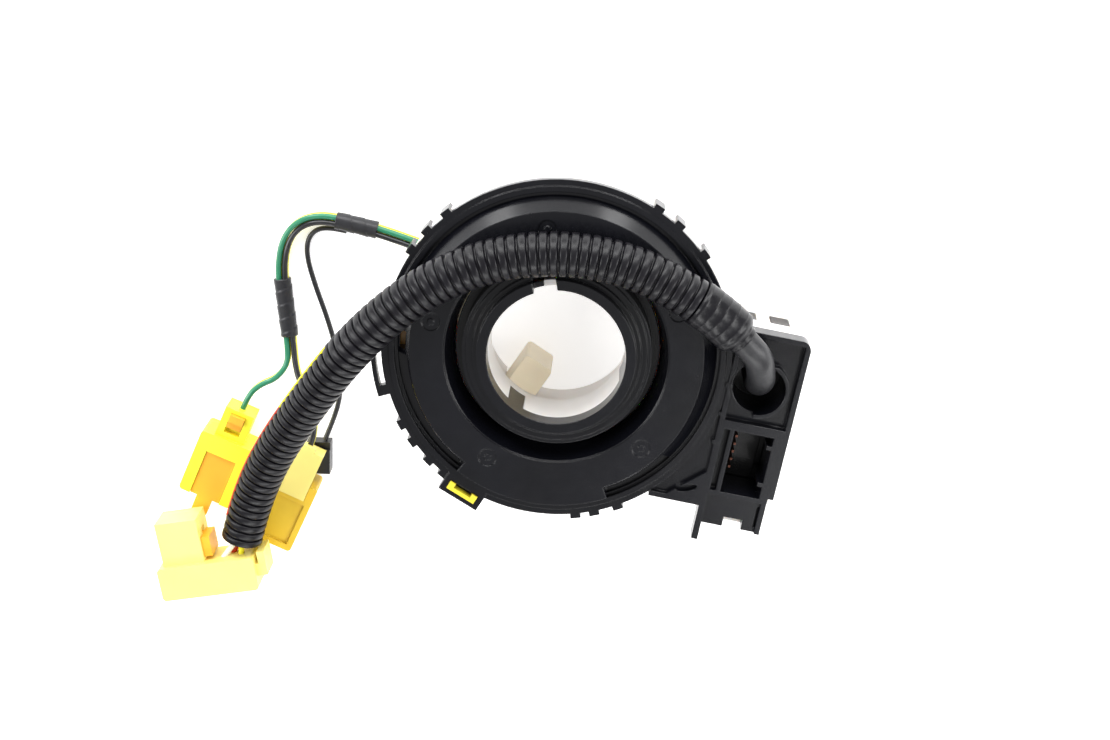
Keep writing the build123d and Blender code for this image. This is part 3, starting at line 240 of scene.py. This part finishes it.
# Colour, roughness and finish of each plastic
PLASTICS = {
    "case_black": ((0.0030, 0.0032, 0.0050), 0.24, dict(vary=0.25, grain=0.05, edge=0.0005, shine=0.42)),
    "ring_black": ((0.0030, 0.0032, 0.0048), 0.22, dict(vary=0.2, grain=0.03, edge=0.0005, shine=0.45)),
    "white_nylon": ((0.72, 0.70, 0.68), 0.38, dict(vary=0.04, grain=0.08, scatter=0.25)),
    "beige": ((0.97, 0.84, 0.62), 0.42, dict(vary=0.05, grain=0.08, scatter=0.2)),
    "clip_yellow": ((0.78, 0.66, 0.04), 0.35, dict(vary=0.1, grain=0.1, scatter=0.1)),
    "amber": ((0.62, 0.30, 0.04), 0.3, dict(vary=0.15, grain=0.05, coat=0.3)),
    "conduit": ((0.0040, 0.0036, 0.0055), 0.34, dict(vary=0.2, grain=0.12, edge=0.0001, shine=0.3)),
    "sleeve": ((0.0045, 0.0043, 0.0060), 0.30, dict(vary=0.2, grain=0.2, grain_scale=1500, shine=0.3)),
    "neck": ((0.010, 0.010, 0.012), 0.42, dict(vary=0.3, grain=0.3, grain_scale=1200)),
    "tape": ((0.014, 0.014, 0.017), 0.40, dict(vary=0.25, grain=0.25, grain_scale=1800)),
    "pale_yellow": ((0.95, 0.80, 0.22), 0.40, dict(vary=0.06, grain=0.08, scatter=0.15)),
    "bright_yellow": ((0.98, 0.90, 0.04), 0.38, dict(vary=0.05, grain=0.08, scatter=0.15)),
    # Painted shade: a darker copy of the connectors' yellow, standing in for shade on the right connector's
    # housing.
    "dark_yellow": ((0.78, 0.52, 0.03), 0.40, dict(vary=0.08, grain=0.08, scatter=0.1)),
    # Painted shade: this orange stands in for the connectors' yellow plastic in shade, on their locks and in
    # the left connector's channel.
    "orange": ((0.88, 0.43, 0.03), 0.38, dict(vary=0.08, grain=0.08, scatter=0.1)),
    "connector_black": ((0.012, 0.012, 0.014), 0.34, dict(vary=0.2, grain=0.1)),
    "wire_yellow": ((0.90, 0.82, 0.02), 0.33, dict(vary=0.08, grain=0.1, coat=0.2)),
    "wire_green": ((0.02, 0.20, 0.10), 0.33, dict(vary=0.12, grain=0.1, coat=0.2)),
    "wire_black": ((0.010, 0.010, 0.012), 0.30, dict(vary=0.2, grain=0.1, coat=0.2)),
    "wire_white": ((0.82, 0.82, 0.80), 0.33, dict(vary=0.04, grain=0.1, coat=0.2)),
    "wire_red": ((0.62, 0.03, 0.01), 0.33, dict(vary=0.08, grain=0.1, coat=0.2)),
}
materials = {
    name: moulded(name, colour, roughness, **finish)
    for name, (colour, roughness, finish) in PLASTICS.items()
}
materials["tin"] = metal("tin", (0.8, 0.78, 0.74), 0.25)
materials["pin_bronze"] = metal("pin_bronze", (0.16, 0.07, 0.05), 0.4)

node_materials = {
    "rear_case": "case_black",
    "front_case": "white_nylon",
    "terminal_header": "case_black",
    "header_pins": "pin_bronze",
    "stator_lead_block": "white_nylon",
    "rim_clip": "clip_yellow",
    "ribbon_cable": "amber",
    "slide_film_rear": "amber",
    "slide_film_front": "amber",
    "rotor_hub": "white_nylon",
    "cancel_cam_ring": "ring_black",
    "rotor_lead_block": "beige",
    "wheel_socket": "beige",
    "wheel_socket_pins": "tin",
    "wire_exit_cover": "case_black",
    "squib_left_body": "bright_yellow",
    "squib_left_lock": "orange",
    "squib_left_terminals": "tin",
    "squib_right_plug": "pale_yellow",
    "squib_right_housing": "dark_yellow",
    "squib_right_terminals": "tin",
    "horn_connector": "connector_black",
    "floor_connector": "pale_yellow",
    "floor_connector_lock": "orange",
    "floor_wire_white": "wire_white",
    "floor_wire_red": "wire_red",
    "floor_wire_yellow": "wire_yellow",
}


def dress(node, material):
    """Gives a carried-over node its material."""
    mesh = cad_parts[node].data
    mesh.materials.clear()
    mesh.materials.append(materials[material])


for node, material in node_materials.items():
    dress(node, material)


# Cords
WIRE_RESOLUTION = 12
LINE_RESOLUTION = 24
WIRE_BEVEL_RESOLUTION = 6


def spline_curve(name, points, resolution):
    """A smooth curve with the route's points as its control points."""
    curve = bpy.data.curves.new(name, "CURVE")
    curve.dimensions = "3D"
    spline = curve.splines.new("NURBS")
    spline.points.add(len(points) - 1)
    for control, point in zip(spline.points, points):
        control.co = (*point, 1)
    spline.order_u = 3
    spline.use_endpoint_u = True
    spline.resolution_u = resolution
    return curve


def wire(name, points, diameter, material):
    """A round insulated wire along a smooth curve."""
    curve = spline_curve(name, points, WIRE_RESOLUTION)
    curve.bevel_depth = diameter / 2
    curve.bevel_resolution = WIRE_BEVEL_RESOLUTION
    curve.use_fill_caps = True
    curve.materials.append(materials[material])
    return link(name, curve)


def centreline(name, points):
    """The points of the smooth curve through a route, read from the curve itself."""
    curve = spline_curve(name, points, LINE_RESOLUTION)
    holder = link(name, curve)
    mesh = bpy.data.meshes.new_from_object(holder)
    line = [vertex.co.copy() for vertex in mesh.vertices]
    bpy.data.objects.remove(holder)
    bpy.data.meshes.remove(mesh)
    bpy.data.curves.remove(curve)
    return line


def line_length(line):
    """The length of a line of points."""
    return sum((after - before).length for before, after in zip(line, line[1:]))


def frames_along(line, distances):
    """Places, directions and untwisted side vectors at distances along a line of points."""
    lengths = [0.0]
    for before, after in zip(line, line[1:]):
        lengths.append(lengths[-1] + (after - before).length)
    side = None
    index = 0
    frames = []
    for distance in distances:
        distance = min(max(distance, 0.0), lengths[-1])
        while index < len(line) - 2 and lengths[index + 1] < distance:
            index += 1
        run = lengths[index + 1] - lengths[index]
        share = (distance - lengths[index]) / run if run else 0.0
        place = line[index].lerp(line[index + 1], share)
        back = line[max(index - 1, 0)]
        ahead = line[min(index + 2, len(line) - 1)]
        along_before = (line[index + 1] - back).normalized()
        along_after = (ahead - line[index]).normalized()
        along = along_before.lerp(along_after, share).normalized()
        if side is None:
            side = along.cross(Vector((0, 0, 1))).normalized()
        side = (side - along * side.dot(along)).normalized()
        frames.append((place, along, side, side.cross(along)))
    return frames


def around(frame_at, angle, reach):
    """A point beside a line, at an angle about it and a distance from it."""
    place, along, side, up = frame_at
    return place + side * (math.cos(angle) * reach) + up * (math.sin(angle) * reach)


def tube(name, line, rings, segments, material):
    """A round skin with closed ends. Each ring is a distance and a radius, or a function of the angle."""
    frames = frames_along(line, [distance for distance, radius in rings])
    vertices = []
    faces = []
    for frame_at, (distance, radius) in zip(frames, rings):
        for index in range(segments):
            angle = 2 * math.pi * index / segments
            reach = radius(angle) if callable(radius) else radius
            vertices.append(tuple(around(frame_at, angle, reach)))
    for ring in range(len(rings) - 1):
        for index in range(segments):
            after = (index + 1) % segments
            low = ring * segments
            high = low + segments
            faces.append((low + index, low + after, high + after, high + index))
    faces.append(tuple(reversed(range(segments))))
    faces.append(tuple(range((len(rings) - 1) * segments, len(rings) * segments)))
    made = skin(name, vertices, faces, materials[material])
    made.data.polygons.foreach_set("use_smooth", [True] * len(faces))
    return made


# Conduit: round ribs with narrow grooves between them, as shares of the pitch and of the groove's depth
RIB_PITCH = 0.00285
GROOVE_DEPTH = 0.0010
CONDUIT_SEGMENTS = 56
RIB_SHARES = (
    (0.0, 1.0), (0.09, 1.0), (0.11, 0.8), (0.13, 0.35), (0.17, 0.13), (0.25, 0.04), (0.4, 0.0),
    (0.6, 0.0), (0.75, 0.04), (0.83, 0.13), (0.87, 0.35), (0.89, 0.8), (0.91, 1.0),
)
MOUTH_DEPTH = 0.008
MOUTH_WALL = 0.0009


def conduit_rings(length):
    """Rings of the conduit's ribs, and of its open end, where they turn back inside."""
    rings = []
    count = int(length / RIB_PITCH)
    pitch = length / count
    for rib in range(count):
        for share, depth in RIB_SHARES:
            rings.append(((rib + share) * pitch, CONDUIT_DIAMETER / 2 - GROOVE_DEPTH * depth))
    rings.append((length, CONDUIT_DIAMETER / 2 - GROOVE_DEPTH))
    mouth = CONDUIT_DIAMETER / 2 - GROOVE_DEPTH - MOUTH_WALL
    rings.append((length, mouth))
    rings.append((length - MOUTH_DEPTH, mouth))
    return rings


conduit_line = centreline("conduit_line", CONDUIT_POINTS)
conduit_length = line_length(conduit_line)
conduit = tube("ribbed_conduit", conduit_line, conduit_rings(conduit_length), CONDUIT_SEGMENTS, "conduit")
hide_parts("conduit")
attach(conduit, "stator")

# Sleeve over the conduit's start: smooth, with a fine line over each rib and a slanted end at the neck
SLEEVE_LINE = 0.00012
SLEEVE_LINE_HALF = 0.00030
SLEEVE_LINE_SHARES = ((0, 0), (0.6, 0.4), (1, 1), (1.4, 0.4), (2, 0))
SLEEVE_TAPER = 0.0030
SLEEVE_SLANT = 0.0016
SLEEVE_SLANT_ANGLE = 60.0
SLEEVE_END_STEPS = 12
SLEEVE_WALL = 0.0005
sleeve_line = centreline("sleeve_line", SLEEVE_POINTS)
sleeve_length = line_length(sleeve_line)
sleeve_body = SLEEVE_DIAMETER / 2 - SLEEVE_LINE
sleeve_neck = NECK_DIAMETER / 2 + SLEEVE_WALL


def sleeve_end(distance):
    """The sleeve's radius near the neck, where it tapers along a slant."""
    def radius(angle):
        start = SLEEVE_SLANT * (1 + math.cos(angle - math.radians(SLEEVE_SLANT_ANGLE))) / 2
        taper = min(max((distance - start) / SLEEVE_TAPER, 0.0), 1.0)
        return sleeve_neck + (sleeve_body - sleeve_neck) * math.sin(taper * math.pi / 2)
    return radius


sleeve_rings = []
for index in range(SLEEVE_END_STEPS + 1):
    distance = (SLEEVE_TAPER + SLEEVE_SLANT) * index / SLEEVE_END_STEPS
    sleeve_rings.append((distance, sleeve_end(distance)))
distance = SLEEVE_TAPER + SLEEVE_SLANT + SLEEVE_LINE_HALF
while distance < sleeve_length - SLEEVE_LINE_HALF:
    for run_share, rise_share in SLEEVE_LINE_SHARES:
        sleeve_rings.append((distance + SLEEVE_LINE_HALF * run_share, sleeve_body + SLEEVE_LINE * rise_share))
    distance += RIB_PITCH
sleeve_rings.append((sleeve_length, sleeve_body))
sleeve_rings.append((sleeve_length, CONDUIT_DIAMETER / 2 - GROOVE_DEPTH))
sleeve = tube("conduit_end_sleeve", sleeve_line, sleeve_rings, CONDUIT_SEGMENTS, "sleeve")
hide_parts("conduit_sleeve")
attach(sleeve, "stator")
dress("cable_neck", "neck")


# Wheel-side wires
def beside(points, side, height):
    """A given route moved sideways in plan by a fixed distance, and set at a height."""
    moved = []
    for index, (x, y, z) in enumerate(points):
        before = points[max(index - 1, 0)]
        after = points[min(index + 1, len(points) - 1)]
        along = Vector((after[0] - before[0], after[1] - before[1], 0)).normalized()
        moved.append((x - side * along.y, y + side * along.x, z + height))
    return moved


def raised(points, height):
    """A given route raised by a height."""
    return [(x, y, z + height) for x, y, z in points]


def before_face(place, azimuth, distance, height):
    """A point in front of a connector's wire face, on its axis."""
    dx, dy = polar(distance, azimuth)
    return place[0] - dx, place[1] - dy, height


left_tail = LEFT_TAIL + (
    before_face(SQUIB_LEFT_PLACE, SQUIB_LEFT_AZIMUTH, TAIL_RUN, SQUIB_LEFT_ENTRY),
    before_face(SQUIB_LEFT_PLACE, SQUIB_LEFT_AZIMUTH, -WIRE_SEAT, SQUIB_LEFT_ENTRY),
)
right_tail = RIGHT_TAIL + (
    before_face(SQUIB_RIGHT_PLACE, SQUIB_RIGHT_AZIMUTH, TAIL_RUN, SQUIB_RIGHT_ENTRY),
    before_face(SQUIB_RIGHT_PLACE, SQUIB_RIGHT_AZIMUTH, -WIRE_SEAT, SQUIB_RIGHT_ENTRY),
)
trunk = (polar(EXIT_REACH - WIRE_SEAT, EXIT_AZIMUTH) + (0,),) + BUNDLE_POINTS

# Each wire's side of the bundle, its tail, its step above the lower wires, its colour and the pieces it carries
bundle_wires = {
    "yellow_wire_a": (-BUNDLE_SIDE, left_tail, 0, "wire_yellow", ["squib_left_body"]),
    "green_wire": (
        -BUNDLE_SIDE, left_tail, BUNDLE_STEP, "wire_green", ["squib_left_lock", "squib_left_terminals"],
    ),
    "yellow_wire_b": (BUNDLE_SIDE, right_tail, 0, "wire_yellow", ["squib_right_plug"]),
    "black_wire": (
        BUNDLE_SIDE, right_tail, BUNDLE_STEP, "wire_black", ["squib_right_housing", "squib_right_terminals"],
    ),
}
for name, (side, tail, step, material, carried) in bundle_wires.items():
    points = beside(trunk, side, BUNDLE_HEIGHT - BUNDLE_STEP / 2 + step) + raised(tail, step)
    made = wire(name + "_lead", points, WIRE_DIAMETER, material)
    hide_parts(name)
    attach(made, "rotor")
    line_length(centreline(name + "_line", points))

horn = wire("horn_wire_lead", HORN_POINTS, HORN_WIRE_DIAMETER, "wire_black")
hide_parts("horn_wire")
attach(horn, "rotor")
line_length(centreline("horn_line", HORN_POINTS))

# Tape wraps: wound tape with its overlapping edges
TAPE_LAP = 0.0045
TAPE_STEP = 0.00022
TAPE_SEGMENTS = 40
TAPE_STEPS = 90
TAPE_OVAL_SHARE = 0.05
TAPE_REACH_SHARE = 0.96


def tape_wrap(name, node, points):
    """Tape wound round the wires, each turn over the edge of the one before."""
    line = centreline(name + "_line", points)
    length = line_length(line)

    def lapped(distance):
        def radius(angle):
            turn = (distance / TAPE_LAP + angle / (2 * math.pi)) % 1.0
            oval = 1 + TAPE_OVAL_SHARE * math.cos(2 * angle)
            return (WRAP_DIAMETER / 2 - TAPE_STEP + TAPE_STEP * (1 - turn)) * oval * TAPE_REACH_SHARE
        return radius

    distances = [length * index / TAPE_STEPS for index in range(TAPE_STEPS + 1)]
    rings = [(distance, lapped(distance)) for distance in distances]
    made = tube(name, line, rings, TAPE_SEGMENTS, "tape")
    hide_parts(node)
    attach(made, "rotor")


tape_wrap("upper_tape", "tape_wrap_upper", UPPER_WRAP_POINTS)
tape_wrap("lower_tape", "tape_wrap_lower", LOWER_WRAP_POINTS)


# Forms that the frame's nodes lack
BOX_FACES = ((3, 2, 1, 0), (4, 5, 6, 7), (0, 1, 5, 4), (1, 2, 6, 5), (2, 3, 7, 6), (3, 0, 4, 7))
TURNED_SEGMENTS = 96


def boxes(name, spans, material, place, azimuth):
    """Plain boxes, each from its x, y and z spans, in a plane of their own."""
    cosine, sine = polar(1, azimuth)
    vertices = []
    faces = []
    for (x_from, x_to), (y_from, y_to), span_z in spans:
        first = len(vertices)
        for z in span_z:
            for x, y in ((x_from, y_from), (x_to, y_from), (x_to, y_to), (x_from, y_to)):
                vertices.append((place[0] + x * cosine - y * sine, place[1] + x * sine + y * cosine, z))
        faces += [tuple(first + corner for corner in face) for face in BOX_FACES]
    return skin(name, vertices, faces, materials[material])


def turned(name, profile, material):
    """A closed profile of radii and heights turned about the bore axis."""
    vertices = []
    faces = []
    count = len(profile)
    for index in range(TURNED_SEGMENTS):
        angle = 2 * math.pi * index / TURNED_SEGMENTS
        vertices += [(radius * math.cos(angle), radius * math.sin(angle), height) for radius, height in profile]
        here = index * count
        ahead = (index + 1) % TURNED_SEGMENTS * count
        for corner in range(count):
            after = (corner + 1) % count
            faces.append((here + corner, ahead + corner, ahead + after, here + after))
    return skin(name, vertices, faces, materials[material])


# Skirt and foot of the cam ring, in the gap between the ring and the funnel
SKIRT_PROFILE = (
    (0.0266, 0.02805), (0.0281, 0.02805), (0.0281, 0.0284), (0.0306, 0.0284),
    (0.0306, 0.0294), (0.0281, 0.0294), (0.0281, 0.03545), (0.0266, 0.03545),
)
skirt = turned("cam_ring_skirt", SKIRT_PROFILE, "ring_black")
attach(skirt, "rotor")

# Floor of the header socket between the key ribs
AXIS_PLACE = (0.0, 0.0)
BLOCK_ANGLE = -12.0
SOCKET_FLOOR_SPAN = (0.01655, 0.01945)
SOCKET_SLOT_SPAN = (0.0673, 0.0689)
SOCKET_SLOT_RUNS = ((-0.0329, -0.0291), (-0.0277, -0.0171), (-0.0157, -0.0131))
socket_spans = [(SOCKET_SLOT_SPAN, run, SOCKET_FLOOR_SPAN) for run in SOCKET_SLOT_RUNS]
socket_floor = boxes("socket_floor", socket_spans, "case_black", AXIS_PLACE, BLOCK_ANGLE)
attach(socket_floor, "stator")

# A plate carried with the left connector's lock, in the channel of the connector: painted shade, an orange
# sheet where the channel's yellow floor is in shade.
RECESS_SHADE_SPANS = (
    ((0.0161, 0.0315), (-0.0049, 0.0049), (0.0101, 0.0123)),
    ((0.0315, 0.0370), (-0.0026, 0.0026), (0.0101, 0.0123)),
)
recess_shade_plate = boxes("squib_recess_shade_plate", RECESS_SHADE_SPANS, "orange", SQUIB_LEFT_PLACE, SQUIB_LEFT_AZIMUTH)
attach(recess_shade_plate, "squib_lock")

# Thin wires along the slit of the conduit, on its outer side: the yellow one shows a wire in the slit, and the
# red one is painted shade, the red edge of the shadow on the yellow connectors beside the conduit.
SLIT_ANGLE = 14.0
SLIT_WIRE_DIAMETER = 0.0009
SLIT_STEPS = 24
SLIT_RUNS = (("slit_wire_yellow", 0.118, 0.146, "wire_yellow"), ("slit_red_painted_shade", 0.146, 0.192, "wire_red"))
slit_reach = CONDUIT_DIAMETER / 2 - SLIT_WIRE_DIAMETER / 4
for name, start, end, material in SLIT_RUNS:
    distances = [start + (end - start) * index / SLIT_STEPS for index in range(SLIT_STEPS + 1)]
    frames = frames_along(conduit_line, distances)
    points = [around(frame_at, math.radians(SLIT_ANGLE), slit_reach) for frame_at in frames]
    made = wire(name, points, SLIT_WIRE_DIAMETER, material)
    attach(made, "stator")


# Floor, light and camera
WHITE = (1.0, 1.0, 1.0, 1.0)
FLOOR_HALF = 3.0
FLOOR_TINTS = ((0.93, 0.93, 0.935), (0.95, 0.95, 0.955))
CLIP_START = 0.01
FLOOR_FIBRE_SCALE = 500
FLOOR_ROUGHNESS = 0.9
FLOOR_GLOW = 0.48
STUDIO_LIGHT = 0.42
LIGHT_TARGET = (0, 0, 0.03)
SOFTBOXES = (
    ("back_box", (0.0, 0.75, 0.45), (0.9, 0.35), 7),
    ("left_box", (-0.7, 0.1, 0.5), (0.3, 0.7), 5),
    ("right_box", (0.7, 0.0, 0.5), (0.3, 0.7), 5),
    ("front_box", (0.0, -0.7, 0.5), (0.8, 0.25), 4),
    ("top_box", (0.34, -0.46, 0.95), (0.3, 0.3), 1.2),
    ("cone_left_box", (-0.29, 0.535, 0.14), (0.14, 0.28), 0.9),
    ("cone_right_box", (0.28, 0.535, 0.14), (0.14, 0.28), 0.9),
)


def floor():
    """A plain pale floor."""
    material, nodes, links, shader = start_material("floor_paper")
    fibre = noise_node(nodes, links, FLOOR_FIBRE_SCALE, FINE_DETAIL)
    tint = ramp_node(nodes, links, fibre.outputs["Fac"], *FLOOR_TINTS)
    links.new(tint.outputs["Color"], shader.inputs["Base Color"])
    shader.inputs["Roughness"].default_value = FLOOR_ROUGHNESS
    shader.inputs["Emission Color"].default_value = WHITE
    shader.inputs["Emission Strength"].default_value = FLOOR_GLOW
    corners = [(x * FLOOR_HALF, y * FLOOR_HALF, 0) for x, y in ((-1, -1), (1, -1), (1, 1), (-1, 1))]
    made = skin("floor", corners, [(0, 1, 2, 3)], material)


def softbox(name, place, size, power):
    """A rectangular soft light that points at the middle of the part."""
    light = bpy.data.lights.new(name, "AREA")
    light.shape = "RECTANGLE"
    light.size, light.size_y = size
    light.energy = power
    made = link(name, light)
    made.location = place
    made.rotation_euler = (Vector(LIGHT_TARGET) - Vector(place)).to_track_quat("-Z", "Y").to_euler()


def camera():
    """The photograph's view."""
    data = bpy.data.cameras.new("camera")
    data.sensor_fit = "HORIZONTAL"
    data.sensor_width = SENSOR_WIDTH
    data.lens = FOCAL_PIXELS / PHOTO_WIDTH * SENSOR_WIDTH
    data.clip_start = CLIP_START
    made = link("camera", data)
    look = CAMERA_LOOK.normalized()
    right = look.cross(CAMERA_UP).normalized()
    up = right.cross(look)
    made.matrix_world = Matrix(
        (
            (right.x, up.x, -look.x, CAMERA_PLACE.x),
            (right.y, up.y, -look.y, CAMERA_PLACE.y),
            (right.z, up.z, -look.z, CAMERA_PLACE.z),
            (0, 0, 0, 1),
        )
    )
    bpy.context.scene.camera = made


floor()
bpy.context.scene.view_settings.view_transform = "Standard"
world = bpy.data.worlds.new("studio")
bpy.context.scene.world = world
world.use_nodes = True
world.node_tree.nodes["Background"].inputs["Color"].default_value = WHITE
world.node_tree.nodes["Background"].inputs["Strength"].default_value = STUDIO_LIGHT
for name, place, size, power in SOFTBOXES:
    softbox(name, place, size, power)
camera()
